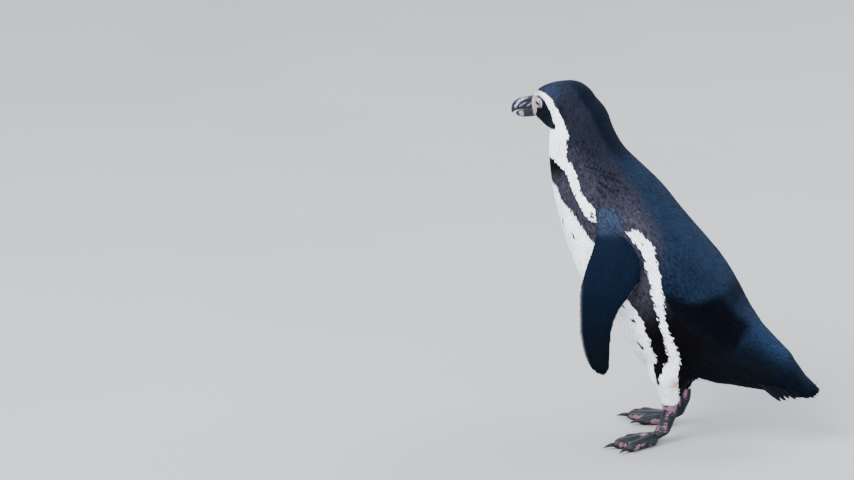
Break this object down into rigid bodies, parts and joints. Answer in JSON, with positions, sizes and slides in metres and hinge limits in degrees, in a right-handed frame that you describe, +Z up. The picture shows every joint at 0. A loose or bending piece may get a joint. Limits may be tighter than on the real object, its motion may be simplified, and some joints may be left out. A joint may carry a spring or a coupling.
{
  "type": "standing humboldt penguin model",
  "caption": "Life-size still model of a Humboldt penguin standing on both feet, leaning forward, head turned to its right, flippers hanging.",
  "frame": {"origin": "middle of the bounding box, on the floor under the feet", "axes": "+Z up, the bird faces -Y and its left side is +X"},
  "size_m": [0.2054, 0.4316, 0.4803],
  "materials": {
    "plumage_slate": "short stiff overlapping slate-blue feathers on the crown, back, rump and tail",
    "plumage_brown": "brownish dark grey feathers of the side of the neck and the flank bands",
    "plumage_white": "dense white feathers of the belly, stripes and leg",
    "plumage_flipper": "tiny scale-like dark feathers",
    "horn": "dark ridged horn of the bill and claws, a little glossy",
    "eye": "wet reddish-brown eyeball",
    "foot_skin": "scaly blackish skin with pink patches"
  },
  "bodies": {
    "root": {"head": "plumage_slate", "neck": "plumage_brown", "trunk": "plumage_slate", "tail": "plumage_slate", "upper_bill": "horn", "lower_bill": "horn", "left_eye": "eye", "right_eye": "eye", "left_flipper": "plumage_flipper", "right_flipper": "plumage_flipper", "left_leg": "plumage_white", "right_leg": "plumage_white", "left_foot": "foot_skin", "right_foot": "foot_skin", "left_inner_claw": "horn", "left_middle_claw": "horn", "left_outer_claw": "horn", "left_hallux_claw": "horn", "right_inner_claw": "horn", "right_middle_claw": "horn", "right_outer_claw": "horn", "right_hallux_claw": "horn"}
  },
  "joints": []
}
